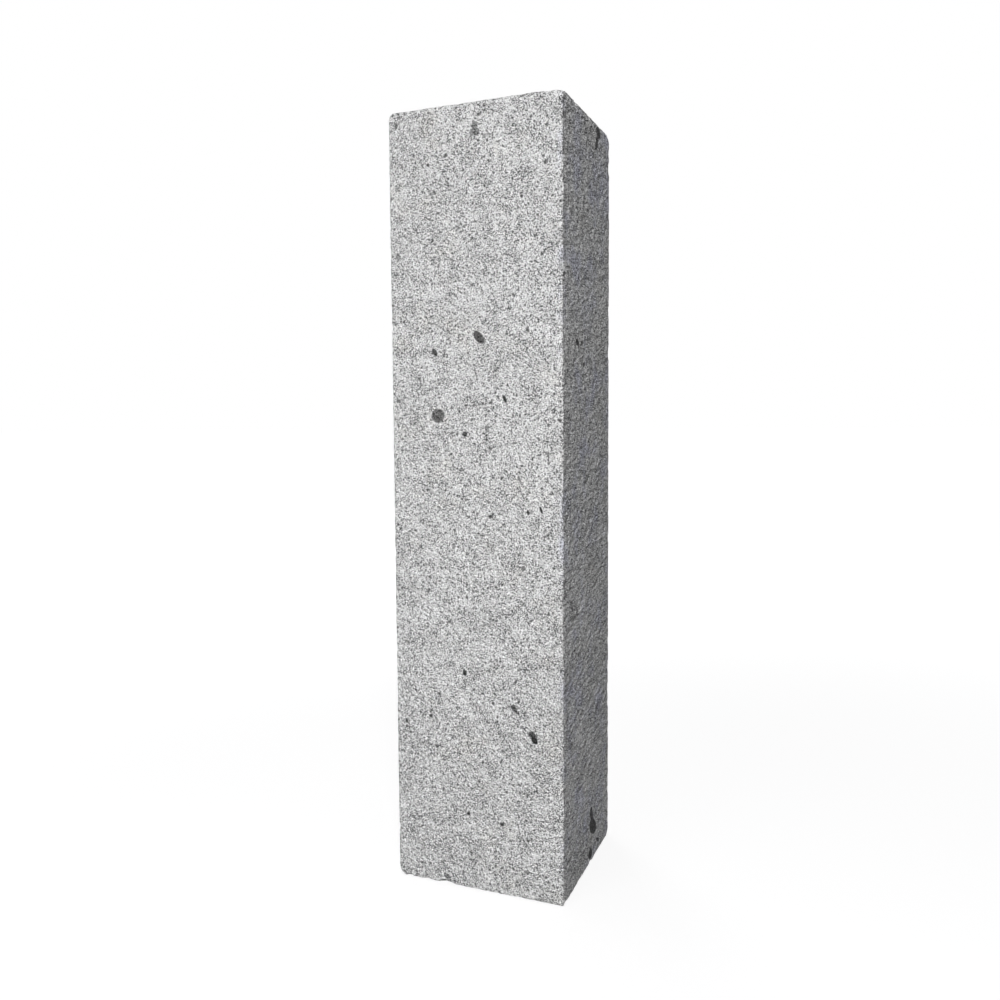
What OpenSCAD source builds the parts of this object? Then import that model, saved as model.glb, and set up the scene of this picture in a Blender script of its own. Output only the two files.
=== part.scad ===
// Granite post: one squared block of sawn stone that stands on its end.
// Millimetres, +Z up. The origin is the middle of the base and the front face looks to -Y.

/* [Block] */
// Height of the post
post_h = 1500; // [1000:10:2400]
// Width and depth of the square section
post_w = 345; // [200:5:500]

/* [Arrises] */
// Width of the easing along the four upright arrises, measured on the faces
upright_ease = 2.5; // [0.5:0.5:6]
// Width of the easing round the top and the base, measured on the faces
end_ease = 2; // [0.5:0.5:6]

/* [Wear] */
// Size of the broken corners, as a share of their size on this stone
corner_wear = 1; // [0.3:0.1:1.5]
// Size of the chips along the arrises, as a share of their size on this stone
chip_wear = 1; // [0.3:0.1:1.5]

/* [Hidden] */

granite = "#b9bab8";
chip_facets = 64;
half = [post_w / 2, post_w / 2, post_h / 2];

// A corner or an arris is named by the faces that meet there, in the order x, y, z.
// 1 is the right, back or top face, -1 is the left, front or base, and 0 is the way an arris runs.

// Broken corners: the corner, then how far the break reaches along its x, y and z arrises
broken_corners = [
    [[ 1, -1,  1], [18, 22,  6]],
    [[-1, -1,  1], [11, 12, 12]],
    [[ 1,  1,  1], [12, 28, 14]],
    [[-1,  1,  1], [ 9, 14, 10]],
    [[ 1, -1, -1], [ 6,  8,  4]],
    [[-1, -1, -1], [15, 12, 15]],
    [[ 1,  1, -1], [10, 20, 12]],
    [[-1,  1, -1], [16, 10, 14]],
];

// Chips: the arris, the place along it as a share of its length from the left, front or base end,
// then the chip's length along the arris and its depth, both before the arris is eased
chips = [
    [[ 1, -1,  0], 0.883, 34, 6],
    [[ 1, -1,  0], 0.615, 24, 4],
    [[ 1, -1,  0], 0.463, 18, 5],
    [[ 1, -1,  0], 0.176, 14, 4],
    [[-1, -1,  0], 0.730, 22, 4],
    [[-1, -1,  0], 0.310, 26, 4],
    [[ 1,  1,  0], 0.976, 26, 6],
    [[ 1,  1,  0], 0.540, 20, 4],
    [[ 1,  1,  0], 0.250, 34, 6],
    [[-1,  1,  0], 0.810, 24, 5],
    [[-1,  1,  0], 0.440, 44, 8],
    [[-1,  1,  0], 0.140, 20, 5],
    [[ 0, -1, -1], 0.070, 16, 5],
    [[ 0, -1, -1], 0.180, 14, 4],
    [[ 0, -1, -1], 0.300, 34, 7],
    [[ 1,  0, -1], 0.560, 22, 5],
    [[ 0,  1, -1], 0.620, 30, 7],
    [[-1,  0, -1], 0.400, 24, 6],
    [[ 0, -1,  1], 0.420, 16, 4],
    [[ 0,  1,  1], 0.350, 28, 6],
    [[-1,  0,  1], 0.700, 20, 5],
];

// Corners of a rectangle centred on the origin, each cut back by the easing
function eased_rectangle(w, h, ease) = [
    [ w / 2,  h / 2 - ease], [ w / 2 - ease,  h / 2],
    [-w / 2 + ease,  h / 2], [-w / 2,  h / 2 - ease],
    [-w / 2, -h / 2 + ease], [-w / 2 + ease, -h / 2],
    [ w / 2 - ease, -h / 2], [ w / 2, -h / 2 + ease],
];

// The whole block with all its arrises eased, centred on the origin
module eased_block() {
    intersection() {
        linear_extrude(2 * post_h, center = true)
            polygon(eased_rectangle(post_w, post_w, upright_ease));
        rotate([90, 0, 0])
            linear_extrude(2 * post_w, center = true)
                polygon(eased_rectangle(post_w, post_h, end_ease));
        rotate([90, 0, 90])
            linear_extrude(2 * post_w, center = true)
                polygon(eased_rectangle(post_w, post_h, end_ease));
    }
}

// What has broken off a corner: everything beyond the plane through the ends of its reach
module corner_break(corner, reach) {
    slope = [for (i = [0:2]) corner[i] / (reach[i] * corner_wear)];
    depth = 1 / norm(slope);
    side = 4 * max(reach) * corner_wear;
    translate([for (i = [0:2]) corner[i] * half[i]])
        rotate([0, acos(slope.z / norm(slope)), atan2(slope.y, slope.x)])
            translate([-side / 2, -side / 2, -depth])
                cube(side);
}

// What has flaked off an arris: a ball that dips into it to the chip's length and depth
module chip(arris, share, length, depth) {
    radius = (length * length / 4 + depth * depth) / (2 * depth);
    clear = (radius - depth) / sqrt(2);
    translate([for (i = [0:2])
        arris[i] == 0 ? (2 * share - 1) * half[i] : arris[i] * (half[i] + clear)])
        sphere(radius, $fn = chip_facets);
}

module granite_post() {
    color(granite)
        translate([0, 0, half.z])
            difference() {
                eased_block();
                for (c = broken_corners)
                    corner_break(c[0], c[1]);
                for (c = chips)
                    chip(c[0], c[1], c[2] * chip_wear, c[3] * chip_wear);
            }
}

granite_post();
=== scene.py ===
"""A squared granite post: a sawn block with worn, chipped arrises, in fine speckled grey stone."""
import math

import bpy
import numpy as np
from mathutils import Matrix, Vector, geometry
from mathutils.bvhtree import BVHTree


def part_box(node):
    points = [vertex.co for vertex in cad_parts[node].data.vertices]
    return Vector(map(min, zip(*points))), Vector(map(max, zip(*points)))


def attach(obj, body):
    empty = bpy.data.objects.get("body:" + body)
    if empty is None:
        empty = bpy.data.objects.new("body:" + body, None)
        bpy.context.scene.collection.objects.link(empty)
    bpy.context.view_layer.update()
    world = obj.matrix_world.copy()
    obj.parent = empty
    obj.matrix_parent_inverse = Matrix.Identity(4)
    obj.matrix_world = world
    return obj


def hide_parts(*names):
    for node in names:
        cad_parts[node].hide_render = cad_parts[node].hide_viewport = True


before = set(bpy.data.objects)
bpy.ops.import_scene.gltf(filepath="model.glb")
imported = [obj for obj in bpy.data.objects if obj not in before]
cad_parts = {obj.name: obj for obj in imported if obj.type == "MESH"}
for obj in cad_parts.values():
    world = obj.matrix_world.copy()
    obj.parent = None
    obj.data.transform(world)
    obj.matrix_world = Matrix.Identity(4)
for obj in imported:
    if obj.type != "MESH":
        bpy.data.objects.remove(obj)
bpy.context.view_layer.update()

MM = 0.001
NODE = "granite_post"
LOW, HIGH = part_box(NODE)
SIZE = HIGH - LOW
CENTRE = (LOW + HIGH) / 2

# Each face of the block, by the way that runs along it and the way that is up it, seen from outside
FACES = {
    "front": (Vector((1, 0, 0)), Vector((0, 0, 1))),
    "right": (Vector((0, 1, 0)), Vector((0, 0, 1))),
    "back": (Vector((-1, 0, 0)), Vector((0, 0, 1))),
    "left": (Vector((0, -1, 0)), Vector((0, 0, 1))),
    "top": (Vector((1, 0, 0)), Vector((0, 1, 0))),
    "base": (Vector((1, 0, 0)), Vector((0, -1, 0))),
}


def face_size(face):
    """A face's width and height."""
    along, up = FACES[face]
    return abs(along.dot(SIZE)), abs(up.dot(SIZE))


def on_face(face, across, height):
    """The point of a face that is so far across from its middle and so far up from its lower edge."""
    along, up = FACES[face]
    out = along.cross(up)
    return CENTRE + out * abs(out.dot(SIZE)) / 2 + along * across + up * (height - abs(up.dot(SIZE)) / 2)


# ---------------------------------------------------------------- nodes and colours

MATH = "ShaderNodeMath"
VECTOR = "ShaderNodeVectorMath"
NOISE = "ShaderNodeTexNoise"
CELLS = "ShaderNodeTexVoronoi"
RANGE = "ShaderNodeMapRange"
MIX = "ShaderNodeMix"


def srgb(code):
    """A hex colour as the linear colour that shaders take."""
    parts = [int(code[i:i + 2], 16) / 255 for i in (1, 3, 5)]
    return [c / 12.92 if c <= 0.04045 else ((c + 0.055) / 1.055) ** 2.4 for c in parts] + [1.0]


def add(tree, kind, *values, out=0, **named):
    """Adds a node and returns one of its outputs. The values go to its first inputs, in order. A name with
    a capital is an input's name or identifier, with _ for a space, and any other name is a setting."""
    node = tree.nodes.new(kind)
    for name in [n for n in named if n[0].islower()]:
        setattr(node, name, named.pop(name))
    chosen = list(zip(node.inputs, values))
    for name, value in named.items():
        same = [s for s in node.inputs if s.identifier == name] or [node.inputs[name.replace("_", " ")]]
        chosen.append((same[0], value))
    for socket, value in chosen:
        if isinstance(value, bpy.types.NodeSocket):
            tree.links.new(value, socket)
        else:
            socket.default_value = value
    if not node.outputs:
        return None
    return next((s for s in node.outputs if s.identifier == out), None) or node.outputs[out]


def arris_distance(tree, place, centre, half_size):
    """Adds nodes that give a point's distance from the nearest arris of a block: the middle one of its
    distances from the block's three pairs of faces."""
    off = add(tree, VECTOR, place, centre, operation="SUBTRACT")
    off = add(tree, VECTOR, off, operation="ABSOLUTE")
    gap = add(tree, VECTOR, half_size, off, operation="SUBTRACT")
    x, y, z = add(tree, "ShaderNodeSeparateXYZ", gap).node.outputs
    less = add(tree, MATH, x, y, operation="MINIMUM")
    more = add(tree, MATH, x, y, operation="MAXIMUM")
    more = add(tree, MATH, more, z, operation="MINIMUM")
    return add(tree, MATH, less, more, operation="MAXIMUM")


# ---------------------------------------------------------------- the block as a fine mesh

FINE_STEP = 2.3 * MM      # spacing of the points along an arris
COARSE_STEP = 9.5 * MM    # spacing in the middle of a face
GROWTH = 0.16             # how fast the spacing widens away from an arris
ROW_RATIO = 0.8           # distance between rows of points, as a share of their spacing
ARRIS_ROWS = (0.0, 0.9 * MM, 2.0 * MM, 3.4 * MM)   # the first rows, close together for the easing
JITTER = 0.14             # random shift of the points inside a face, as a share of their spacing
FAN = 16 * MM             # within this of an arris, points are laid on the stone along a fan of lines
MAP_MARGIN = 0.004        # gap round each face on the bake map
MAP_ENDS = 0.13           # width of the column on the bake map that holds the two ends
SAME_PLACE = 0.001 * MM   # points of two faces that are nearer than this are one point
MESH_SEED = 5


def face_rows(width, height, rng):
    """Points over a flat face, in rows round it that are close together by its arrises."""
    points = []
    inset, row = 0.0, 0
    while inset < width / 2:
        step = min(FINE_STEP + inset * GROWTH, COARSE_STEP)
        across, up = width - 2 * inset, height - 2 * inset
        n_across, n_up = max(1, round(across / step)), max(1, round(up / step))
        ring = [(inset + across * i / n_across, inset) for i in range(n_across)]
        ring += [(width - inset, inset + up * i / n_up) for i in range(n_up)]
        ring += [(width - inset - across * i / n_across, height - inset) for i in range(n_across)]
        ring += [(inset, height - inset - up * i / n_up) for i in range(n_up)]
        ring = np.array(ring)
        if row >= len(ARRIS_ROWS):
            ring += rng.uniform(-JITTER, JITTER, ring.shape) * step
        points.append(ring)
        row += 1
        inset = ARRIS_ROWS[row] if row < len(ARRIS_ROWS) else inset + step * ROW_RATIO
    return np.concatenate(points)


def bake_place(number, share):
    """Where points of a face lie on the bake map: four tall strips side by side, then the two ends."""
    strip = (1 - MAP_ENDS) / 4
    if number < 4:
        corner, room = (number * strip, 0.0), (strip, 1.0)
    else:
        corner, room = (4 * strip, (number - 4) * MAP_ENDS), (MAP_ENDS, MAP_ENDS)
    return np.array(corner) + MAP_MARGIN + share * (np.array(room) - 2 * MAP_MARGIN)


def block_mesh():
    """The six faces of the block as one closed mesh, with each face's place on the bake map."""
    rng = np.random.default_rng(MESH_SEED)
    corners, triangles, places = [], [], []
    for number, (face, (along, up)) in enumerate(FACES.items()):
        width, height = face_size(face)
        points, _, cells, *_ = geometry.delaunay_2d_cdt(
            [Vector(p) for p in face_rows(width, height, rng)], [], [], 0, SAME_PLACE / 10)
        flat, cells = np.array([tuple(p) for p in points]), np.array([tuple(c) for c in cells])
        triangles.append(cells + sum(len(c) for c in corners))
        corners.append(np.array(on_face(face, -width / 2, 0)) + flat @ np.array([along, up]))
        places.append(bake_place(number, flat / (width, height))[cells].reshape(-1, 2))
    corners, triangles = np.concatenate(corners), np.concatenate(triangles)
    _, first, shared = np.unique(np.round(corners / SAME_PLACE).astype(np.int64), axis=0,
                                 return_index=True, return_inverse=True)
    mesh = bpy.data.meshes.new("granite_block")
    mesh.from_pydata(corners[first].tolist(), [], shared.reshape(-1)[triangles].tolist())
    mesh.uv_layers.new(name="OFBake").data.foreach_set("uv", np.concatenate(places).ravel())
    return mesh


def lay_on_solid(mesh):
    """Moves the block's points on to the stone's own solid, which carries over its easings, breaks and
    chips."""
    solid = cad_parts[NODE].data
    surface = BVHTree.FromPolygons([v.co for v in solid.vertices], [p.vertices for p in solid.polygons])
    for v in mesh.vertices:
        core = Vector(min(max(c, lo + FAN), hi - FAN) for c, lo, hi in zip(v.co, LOW, HIGH))
        outward = (v.co - core).normalized()
        hit = surface.ray_cast(v.co + outward * MM, -outward)[0]
        if hit is not None:
            v.co = hit


# ---------------------------------------------------------------- wear, as a Geometry Nodes tree

# How far apart the bumps of each kind of wear are
RUB_SPACING = 34 * MM
RAGGED_SPACING = 7 * MM
RELIEF_SPACING = 14 * MM
HOLLOW_SPACING = 190 * MM

def wear_tree():
    """Rubs and chips the arrises of a block, and gives its faces the low relief of sawn and burnt stone."""
    tree = bpy.data.node_groups.new("worn_stone", "GeometryNodeTree")
    tree.interface.new_socket("Geometry", in_out="OUTPUT", socket_type="NodeSocketGeometry")
    sockets = {"Geometry": "Geometry", "Centre": "Vector", "Half Size": "Vector", "Stone": "Material"}
    sockets |= dict.fromkeys(("Wear Reach", "Rub Depth", "Flake Spacing", "Flake Depth",
                              "Face Relief", "Hollow Depth", "Seed"), "Float")
    for name, kind in sockets.items():
        tree.interface.new_socket(name, in_out="INPUT", socket_type="NodeSocket" + kind)
    given = tree.nodes.new("NodeGroupInput").outputs
    place = add(tree, "GeometryNodeInputPosition")
    seeded = dict(Vector=place, W=given["Seed"], noise_dimensions="4D")

    from_arris = arris_distance(tree, place, given["Centre"], given["Half Size"])
    near = add(tree, RANGE, from_arris, 0.0, given["Wear Reach"], 1.0, 0.0, interpolation_type="SMOOTHERSTEP")

    # Rubbed: uneven along the arris, with a finer raggedness on it
    rub = add(tree, NOISE, Scale=1 / RUB_SPACING, Detail=3.0, Roughness=0.6, **seeded)
    rub = add(tree, RANGE, rub, 0.42, 0.72)
    ragged = add(tree, NOISE, Scale=1 / RAGGED_SPACING, Detail=2.0, Roughness=0.6, **seeded)
    ragged = add(tree, RANGE, ragged, 0.35, 0.72)
    rubbed = add(tree, MATH, rub, ragged, operation="ADD")
    rubbed = add(tree, MATH, rubbed, given["Rub Depth"], operation="MULTIPLY")

    # Flaked: balls of random size, scattered through the stone, bite where they meet an arris
    density = add(tree, MATH, 1.0, given["Flake Spacing"], operation="DIVIDE")
    distance = add(tree, CELLS, Vector=place, W=given["Seed"], Scale=density, voronoi_dimensions="4D")
    lot = add(tree, "FunctionNodeSeparateColor", distance.node.outputs["Color"])
    radius = add(tree, MATH, lot, 3.0, operation="POWER")
    bite = add(tree, MATH, radius, 0.8, operation="MULTIPLY")
    bite = add(tree, MATH, bite, distance, operation="SUBTRACT")
    bite = add(tree, MATH, bite, 0.0, operation="MAXIMUM")
    worn = add(tree, MATH, bite, given["Flake Depth"], rubbed, operation="MULTIPLY_ADD")
    worn = add(tree, MATH, worn, near, operation="MULTIPLY")

    relief = add(tree, NOISE, Scale=1 / RELIEF_SPACING, Detail=3.0, Roughness=0.55, **seeded)
    hollow = add(tree, NOISE, Scale=1 / HOLLOW_SPACING, Detail=1.0, **seeded)
    depth = add(tree, MATH, relief, given["Face Relief"], worn, operation="MULTIPLY_ADD")
    depth = add(tree, MATH, hollow, given["Hollow Depth"], depth, operation="MULTIPLY_ADD")
    depth = add(tree, MATH, depth, -1.0, operation="MULTIPLY")
    inward = add(tree, VECTOR, add(tree, "GeometryNodeInputNormal"), Scale=depth, operation="SCALE")

    shape = add(tree, "GeometryNodeStoreNamedAttribute", given["Geometry"], Name="wear", Value=worn)
    shape = add(tree, "GeometryNodeSetPosition", shape, Offset=inward)
    shape = add(tree, "GeometryNodeSetShadeSmooth", shape)
    shape = add(tree, "GeometryNodeRealizeInstances", shape)
    shape = add(tree, "GeometryNodeSetMaterial", shape, Material=given["Stone"])
    add(tree, "NodeGroupOutput", shape)
    return tree


def made_with(obj, tree, name, values):
    """A plain mesh object: obj with a Geometry Nodes tree applied to it. obj itself is removed."""
    modifier = obj.modifiers.new(tree.name, "NODES")
    modifier.node_group = tree
    for item in tree.interface.items_tree:
        if item.in_out == "INPUT" and item.name in values:
            modifier[item.identifier] = values[item.name]
    evaluated = obj.evaluated_get(bpy.context.evaluated_depsgraph_get())
    mesh = bpy.data.meshes.new_from_object(evaluated)
    obj.modifiers.remove(modifier)
    bpy.data.objects.remove(obj)
    made = bpy.data.objects.new(name, mesh)
    bpy.context.scene.collection.objects.link(made)
    return made


# ---------------------------------------------------------------- granite

GRAIN = 1.25 * MM         # width of a grain
LARGE_GRAIN = 4.2 * MM    # width of the larger grains, which sway the minerals of the small ones in them
BEND_SPACING = 1.8 * MM   # how far apart the bends in the grains' outlines are
BEND = 0.9 * MM           # how far the outlines are bent
CLOUD = 32 * MM           # size of the paler and darker clouds
CLOT_SPACING = 6 * MM     # how far apart the clots of mica are
STAIN_AND_SHADE_CLOUD = 70 * MM           # size of the clouds of colour: the iron stain, and the painted bluish shade tint
RIPPLE = 10 * MM          # width of the ripples that the saw left
WAVE = 45 * MM            # width of the wider waves under them
RIPPLE_DEPTH = 13 * MM    # how deep the ripples are shaded: far deeper than they are cut, so that they show
BRUISED = (0.3 * MM, 2.5 * MM)     # the wear at which an arris begins to be pale, and at which it is palest
SHADE_TINT_SIDE = (160 * MM, 170 * MM)   # the painted bluish shade tint comes in between these, across to the right: only on the right-hand face, which is in shade

FELDSPAR = "#cfcfcf", "#fafafa"
QUARTZ = "#4a4a4a"
MICA = "#303030"
IRON_STAIN = "#fefdfb"
# painted shade: the bluish cast of the shaded right-hand face
BLUE_SHADE_TINT = "#f2f3ff"
CRUSHED = "#dcdcda"

# Dark fine-grained patches in the stone, each an egg shape cut by a face. A row gives the face, how far the
# patch is across from its middle and up from its lower edge, its width and height, all in millimetres, how
# far it leans to the right in degrees, and its darkness.
DARK_PATCHES = [
    ("front", 5, 1455, 12, 18, 0, 0.60),
    ("front", 5, 1445, 20, 14, 0, 0.60),
    ("front", 25, 1435, 10, 8, 0, 0.35),
    ("front", -155, 1475, 7, 13, 0, 0.60),
    ("front", -90, 1395, 6, 6, 0, 0.90),
    ("front", 140, 1375, 6, 8, 0, 0.80),
    ("front", 95, 1320, 6, 6, 0, 0.90),
    ("front", -155, 1230, 10, 10, 0, 0.55),
    ("front", 105, 1080, 7, 8, 0, 0.75),
    ("front", 10, 1070, 16, 28, -40, 0.85),
    ("front", -80, 1045, 9, 16, -30, 0.85),
    ("front", 60, 955, 6, 15, -25, 0.95),
    ("front", -75, 925, 27, 27, 0, 0.75),
    ("front", -75, 920, 20, 14, 0, 0.85),
    ("front", 165, 915, 8, 6, 0, 0.80),
    ("front", 25, 900, 9, 14, 0, 0.60),
    ("front", -20, 890, 10, 10, 0, 0.90),
    ("front", 130, 750, 5, 14, -20, 0.95),
    ("front", 105, 745, 6, 10, -15, 0.90),
    ("front", 30, 735, 8, 6, 0, 0.90),
    ("front", -45, 675, 7, 12, 0, 0.60),
    ("front", 95, 640, 9, 9, 0, 0.65),
    ("front", -25, 430, 8, 13, -15, 0.90),
    ("front", 75, 370, 8, 16, -45, 0.85),
    ("front", 110, 325, 14, 12, 0, 0.85),
    ("front", 115, 315, 11, 18, -30, 0.95),
    ("front", -20, 150, 8, 7, 0, 0.95),
    ("front", 50, 140, 7, 6, 0, 0.80),
    ("front", 100, 55, 9, 10, 0, 0.50),
    ("front", -65, 15, 16, 8, 0, 0.60),
    ("right", 80, 1485, 35, 22, 0, 0.90),
    ("right", 70, 1465, 14, 45, 35, 0.90),
    ("right", -15, 1465, 30, 12, -30, 0.45),
    ("right", -65, 1415, 30, 12, -35, 0.40),
    ("right", -180, 1305, 20, 14, 0, 0.90),
    ("right", -75, 1060, 22, 12, 15, 0.95),
    ("right", -45, 1060, 16, 9, 0, 0.70),
    ("right", -30, 1020, 18, 7, 0, 0.85),
    ("right", -180, 690, 18, 10, 0, 0.90),
    ("right", 65, 435, 30, 14, 0, 0.40),
    ("right", 75, 315, 30, 15, 0, 0.45),
    ("right", -120, 295, 25, 14, 0, 0.40),
    ("right", 30, 100, 20, 35, -25, 0.90),
    ("right", 40, 70, 60, 30, 30, 0.95),
    ("right", 80, 25, 28, 8, 25, 0.85),
    ("right", 20, 20, 30, 22, 15, 0.95),
    ("back", 62, 1212, 26, 20, 25, 0.70),
    ("back", -88, 968, 9, 14, -15, 0.55),
    ("back", 20, 742, 13, 12, 0, 0.80),
    ("back", 104, 517, 7, 8, 0, 0.60),
    ("back", -51, 402, 17, 24, -40, 0.62),
    ("back", -118, 160, 10, 8, 0, 0.50),
    ("left", -64, 1330, 12, 15, 20, 0.72),
    ("left", 97, 1105, 8, 8, 0, 0.55),
    ("left", 38, 848, 24, 19, -20, 0.58),
    ("left", -110, 655, 6, 13, 15, 0.60),
    ("left", -20, 371, 15, 14, 0, 0.82),
    ("left", 84, 205, 10, 13, 30, 0.50),
    ("top", -70, 240, 18, 13, 20, 0.66),
    ("top", 96, 105, 8, 9, 0, 0.58),
    ("base", 40, 210, 16, 20, 35, 0.62),
]
PATCH_DEPTH = 24 * MM         # how thick each egg is, half of it inside the stone
PATCH_BEND_SPACING = 7 * MM   # how far apart the bends in the patches' outlines are
PATCH_BEND = 1.6 * MM         # how far the outlines are bent
PATCH_EDGE = (0.45, 0.55)     # the fade of a patch's edge, where 1 is its middle and 0.5 its outline

# How many small specks each face has besides, and the least and the most that their rows give for width,
# height, lean and darkness
SPECKS = {"front": 6, "right": 3, "back": 5, "left": 4}
SPECK_LEAST = (5, 5, -45, 0.70)
SPECK_MOST = (8, 10, 45, 0.95)
SPECK_SEED = 8


def specks():
    """Small dark specks in places drawn at random, each a row like those of the dark patches."""
    rng = np.random.default_rng(SPECK_SEED)
    rows = []
    for face, count in SPECKS.items():
        width, height = (size / MM for size in face_size(face))
        for _ in range(count):
            across = rng.uniform(-0.45, 0.45) * width
            up = rng.uniform(0.05, 0.95) * height
            rows.append((face, across, up, *rng.uniform(SPECK_LEAST, SPECK_MOST).tolist()))
    return rows


def dark_patches(tree, where):
    """How dark the patches make each point of the stone: nought outside them."""
    nudge = add(tree, NOISE, Vector=where, Scale=1 / PATCH_BEND_SPACING, Detail=1.0, out="Color")
    nudge = add(tree, VECTOR, nudge, (0.5, 0.5, 0.5), operation="SUBTRACT")
    ragged = add(tree, VECTOR, nudge, (PATCH_BEND,) * 3, where, operation="MULTIPLY_ADD")
    darkness = 0.0
    for face, across, height, width, tall, lean, dark in DARK_PATCHES + specks():
        along, up = FACES[face]
        turn = Matrix((along, -along.cross(up), up)).transposed()
        turn @= Matrix.Rotation(math.radians(lean), 3, "Y")
        egg = add(tree, "ShaderNodeMapping", ragged, on_face(face, across * MM, height * MM), turn.to_euler(),
                  (width * MM, PATCH_DEPTH, tall * MM), vector_type="TEXTURE")
        shade = add(tree, "ShaderNodeTexGradient", egg, gradient_type="SPHERICAL", out="Fac")
        shade = add(tree, RANGE, shade, *PATCH_EDGE, 0.0, dark)
        darkness = add(tree, MATH, shade, darkness, operation="MAXIMUM")
    return darkness


def granite():
    """Fine grey granite, sawn and lightly burnt: pale feldspar, grey quartz and black mica in grains of
    one to four millimetres, matt and rough all over. Crushed grains make the arrises pale."""
    material = bpy.data.materials.new("sawn_granite")
    material.use_nodes = True
    tree = material.node_tree
    tree.nodes.clear()
    where = add(tree, "ShaderNodeTexCoord", out="Object")

    # The stone's grain is drawn out from front to back, twice as long as it is wide. The grains' outlines are
    # not straight, so their lookups are nudged by a fine noise.
    drawn = add(tree, VECTOR, where, (1.0, 0.5, 1.0), operation="MULTIPLY")
    nudge = add(tree, NOISE, Vector=drawn, Scale=1 / BEND_SPACING, Detail=2.0, out="Color")
    nudge = add(tree, VECTOR, nudge, (0.5, 0.5, 0.5), operation="SUBTRACT")
    bent = add(tree, VECTOR, nudge, (BEND,) * 3, drawn, operation="MULTIPLY_ADD")

    # Each grain draws a lot that decides its mineral. Its neighbours and the cloudiness of the stone sway the
    # lot, so that the minerals gather in knots: black mica lowest, then grey quartz, then pale feldspar.
    small = add(tree, CELLS, Vector=bent, Scale=1 / GRAIN, out="Color")
    lot, tint, _ = add(tree, "ShaderNodeSeparateColor", small).node.outputs
    large = add(tree, CELLS, Vector=bent, Scale=1 / LARGE_GRAIN, out="Color")
    large = add(tree, "ShaderNodeSeparateColor", large)
    cloud = add(tree, NOISE, Vector=drawn, Scale=1 / CLOUD, Detail=7.0, Roughness=0.7)
    lot = add(tree, MATH, large, 0.05, lot, operation="MULTIPLY_ADD")
    lot = add(tree, MATH, cloud, 0.8, lot, operation="MULTIPLY_ADD")
    lot = add(tree, MATH, lot, 0.42, operation="SUBTRACT")
    quartz = add(tree, RANGE, lot, 0.28, 0.46, 1.0, 0.0)
    mica = add(tree, RANGE, lot, 0.09, 0.14, 1.0, 0.0)
    colour = add(tree, MIX, Factor_Float=tint, A_Color=srgb(FELDSPAR[0]), B_Color=srgb(FELDSPAR[1]),
                 out="Result_Color", data_type="RGBA")
    colour = add(tree, MIX, Factor_Float=quartz, A_Color=colour, B_Color=srgb(QUARTZ),
                 out="Result_Color", data_type="RGBA")
    colour = add(tree, MIX, Factor_Float=mica, A_Color=colour, B_Color=srgb(MICA),
                 out="Result_Color", data_type="RGBA")

    # Clots of mica, up to a few millimetres across, one to a cell and drawn out like the grain
    near = add(tree, CELLS, Vector=drawn, Scale=1 / CLOT_SPACING)
    size = add(tree, "ShaderNodeSeparateColor", near.node.outputs["Color"])
    size = add(tree, RANGE, size, 0.30, 1.0, 0.0, 0.42)
    clot = add(tree, MATH, size, near, operation="SUBTRACT")
    clot = add(tree, RANGE, clot, 0.0, 0.08, 0.0, 0.80)
    colour = add(tree, MIX, Factor_Float=clot, A_Color=colour, B_Color=srgb(MICA),
                 out="Result_Color", data_type="RGBA")

    # Faint clouds of colour: brownish where a little iron has bled, and a painted bluish shade tint in places
    # on the right-hand face, which lies in shade
    hue = add(tree, NOISE, Vector=where, Scale=1 / STAIN_AND_SHADE_CLOUD, Detail=3.0, Roughness=0.6)
    iron = add(tree, RANGE, hue, 0.56, 0.72)
    # Painted shade: bluish clouds that stand for the cast of shade, kept to the right-hand face
    shade_tint = add(tree, RANGE, hue, 0.50, 0.33)
    to_right = add(tree, "ShaderNodeSeparateXYZ", where, out="X")
    to_right = add(tree, RANGE, to_right, *SHADE_TINT_SIDE)
    shade_tint = add(tree, MATH, shade_tint, to_right, operation="MULTIPLY")
    for stain_and_shade_tint, hex_code in ((iron, IRON_STAIN), (shade_tint, BLUE_SHADE_TINT)):
        colour = add(tree, MIX, Factor_Float=stain_and_shade_tint, A_Color=colour, B_Color=srgb(hex_code),
                     out="Result_Color", data_type="RGBA", blend_type="MULTIPLY")

    # Crushed grains make the worn arrises a little paler.
    wear = add(tree, "ShaderNodeAttribute", attribute_name="wear", out="Fac")
    bruise = add(tree, RANGE, wear, *BRUISED, 0.0, 0.2)
    colour = add(tree, MIX, Factor_Float=bruise, A_Color=colour, B_Color=srgb(CRUSHED),
                 out="Result_Color", data_type="RGBA")

    # Pale grains show through the dark patches.
    darkness = dark_patches(tree, where)
    through = add(tree, RANGE, tint, 0.0, 1.0, 1.04, 0.90)
    darkness = add(tree, MATH, darkness, through, operation="MULTIPLY")
    colour = add(tree, MIX, Factor_Float=darkness, A_Color=colour, B_Color=(0, 0, 0, 1),
                 out="Result_Color", data_type="RGBA")

    # Sawn and burnt: rippled all over, and the ripples are longest the way that the saw ran, front to back
    sawn = add(tree, VECTOR, where, (1.0, 0.45, 1.0), operation="MULTIPLY")
    pits = add(tree, NOISE, Vector=sawn, Scale=1 / RIPPLE, Detail=3.0, Roughness=0.6)
    waves = add(tree, NOISE, Vector=where, Scale=1 / WAVE, Detail=2.0, Roughness=0.6)
    height = add(tree, MATH, waves, 0.3, pits, operation="MULTIPLY_ADD")
    relief = add(tree, "ShaderNodeBump", Height=height, Distance=RIPPLE_DEPTH, Strength=1.0)

    shader = add(tree, "ShaderNodeBsdfPrincipled", colour, Roughness=0.8, IOR=1.54, Normal=relief,
                 Specular_IOR_Level=0.12)
    add(tree, "ShaderNodeOutputMaterial", shader)
    return material


# ---------------------------------------------------------------- the post

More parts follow.
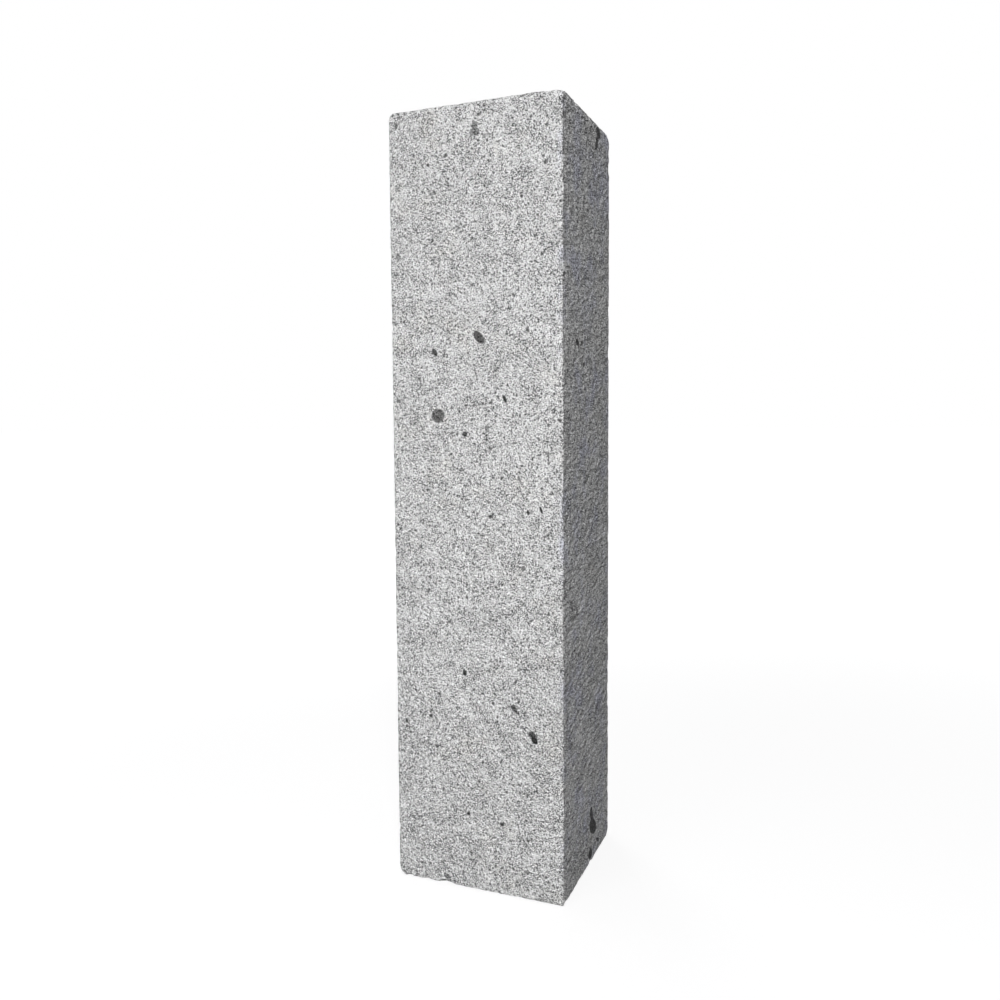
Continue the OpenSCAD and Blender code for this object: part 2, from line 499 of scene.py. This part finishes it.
block = block_mesh()
lay_on_solid(block)
rough_block = bpy.data.objects.new("block", block)
bpy.context.scene.collection.objects.link(rough_block)
post = made_with(rough_block, wear_tree(), "dressed_granite_post", {
    "Centre": CENTRE,
    "Half Size": SIZE / 2,
    "Wear Reach": 12 * MM,
    "Rub Depth": 0.8 * MM,
    "Flake Spacing": 30 * MM,
    "Flake Depth": 10 * MM,
    "Face Relief": 0.5 * MM,
    "Hollow Depth": 1.0 * MM,
    "Seed": 3.0,
    "Stone": granite(),
})
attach(post, "root")
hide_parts(NODE)


# ---------------------------------------------------------------- floor, light and camera

FLOOR_HALF = 40.0           # half the floor's width
FLOOR_GLOW = (0.81, 0.94)   # the floor's own brightness by the post and far off, before its light is added
GLOW_REACH = (0.8, 4.0)     # how far from the post those two are, in metres
SKY_LEVEL = 0.30            # brightness of the light from overhead

# Each lamp's name, power in watts, width and place. All of them are soft discs that face the middle of the
# post.
LAMPS = [
    ("key_light", 165, 1.0, (1.6, -4.0, 2.05)),
    ("left_light", 28, 1.6, (-0.8, -2.3, 0.4)),
    ("back_light", 65, 2.4, (-2.6, 3.2, 2.2)),
]


def seen_ray(tree):
    """Adds nodes that are 1 for rays that show a surface to the camera, straight, by gloss or through
    glass."""
    ray = add(tree, "ShaderNodeLightPath").node.outputs
    seen = add(tree, MATH, ray["Is Camera Ray"], ray["Is Glossy Ray"], operation="MAXIMUM")
    return add(tree, MATH, seen, ray["Is Transmission Ray"], operation="MAXIMUM")


def floor_finish():
    """Plain white studio floor: white where the light reaches it, and a little grey in the post's shadow. It
    throws little light back on the post."""
    material = bpy.data.materials.new("studio_floor")
    material.use_nodes = True
    tree = material.node_tree
    tree.nodes.clear()
    seen = seen_ray(tree)
    away = add(tree, VECTOR, add(tree, "ShaderNodeTexCoord", out="Object"), operation="LENGTH", out="Value")
    glow = add(tree, RANGE, away, *GLOW_REACH, *FLOOR_GLOW, interpolation_type="SMOOTHSTEP")
    glow = add(tree, MATH, seen, glow, operation="MULTIPLY")
    glow = add(tree, "ShaderNodeEmission", Strength=glow)
    paint = add(tree, MIX, Factor_Float=seen, A_Color=srgb("#202020"), B_Color=srgb("#8a8a8a"),
                out="Result_Color", data_type="RGBA")
    lit = add(tree, "ShaderNodeBsdfDiffuse", paint)
    add(tree, "ShaderNodeOutputMaterial", add(tree, "ShaderNodeAddShader", lit, glow))
    return material


def floor():
    """A level floor under the post, so wide that its edge is lost in the white around it."""
    half = FLOOR_HALF
    mesh = bpy.data.meshes.new("studio_floor")
    corners = [(-half, -half, 0), (half, -half, 0), (half, half, 0), (-half, half, 0)]
    mesh.from_pydata(corners, [], [(0, 1, 2, 3)])
    mesh.materials.append(floor_finish())
    ground = bpy.data.objects.new("studio_floor", mesh)
    bpy.context.scene.collection.objects.link(ground)


def lights():
    """Even light from above, which the camera sees as white all round. The soft key stands in front, high
    and to the right, and only grazes the right-hand face; a low lamp on the left and one behind fill in."""
    world = bpy.data.worlds.new("studio_world")
    bpy.context.scene.world = world
    world.use_nodes = True
    tree = world.node_tree
    tree.nodes.clear()
    way = add(tree, "ShaderNodeSeparateXYZ", add(tree, "ShaderNodeTexCoord", out="Generated"), out="Z")
    level = add(tree, RANGE, way, 0.0, 0.5, 0.0, SKY_LEVEL, interpolation_type="SMOOTHSTEP")
    around = add(tree, "ShaderNodeBackground", srgb("#fcfcff"), level)
    white = add(tree, "ShaderNodeBackground", (1, 1, 1, 1), 1.0)
    add(tree, "ShaderNodeOutputWorld", add(tree, "ShaderNodeMixShader", seen_ray(tree), around, white))

    for name, power, width, place in LAMPS:
        lamp = bpy.data.lights.new(name, "AREA")
        lamp.shape = "DISK"
        lamp.size = width
        lamp.energy = power
        lamp.color = srgb("#ffffff")[:3]
        holder = bpy.data.objects.new(name, lamp)
        holder.location = place
        holder.rotation_euler = (CENTRE - holder.location).to_track_quat("-Z", "Y").to_euler()
        bpy.context.scene.collection.objects.link(holder)


def camera():
    """Stands in front and to the right at waist height, and looks a little down."""
    lens = bpy.data.cameras.new("camera")
    lens.sensor_width = 36
    lens.lens = 34.5
    lens.shift_x, lens.shift_y = 0.061, -0.016
    turn, tilt, roll = math.radians(23.87), math.radians(4.45), math.radians(-0.67)
    eye = bpy.data.objects.new("camera", lens)
    eye.matrix_world = (Matrix.Translation((0.668, -1.850, 0.937)) @ Matrix.Rotation(turn, 4, "Z")
                        @ Matrix.Rotation(math.pi / 2 - tilt, 4, "X") @ Matrix.Rotation(roll, 4, "Z"))
    bpy.context.scene.collection.objects.link(eye)
    bpy.context.scene.camera = eye


floor()
lights()
camera()
bpy.context.scene.view_settings.view_transform = "Standard"
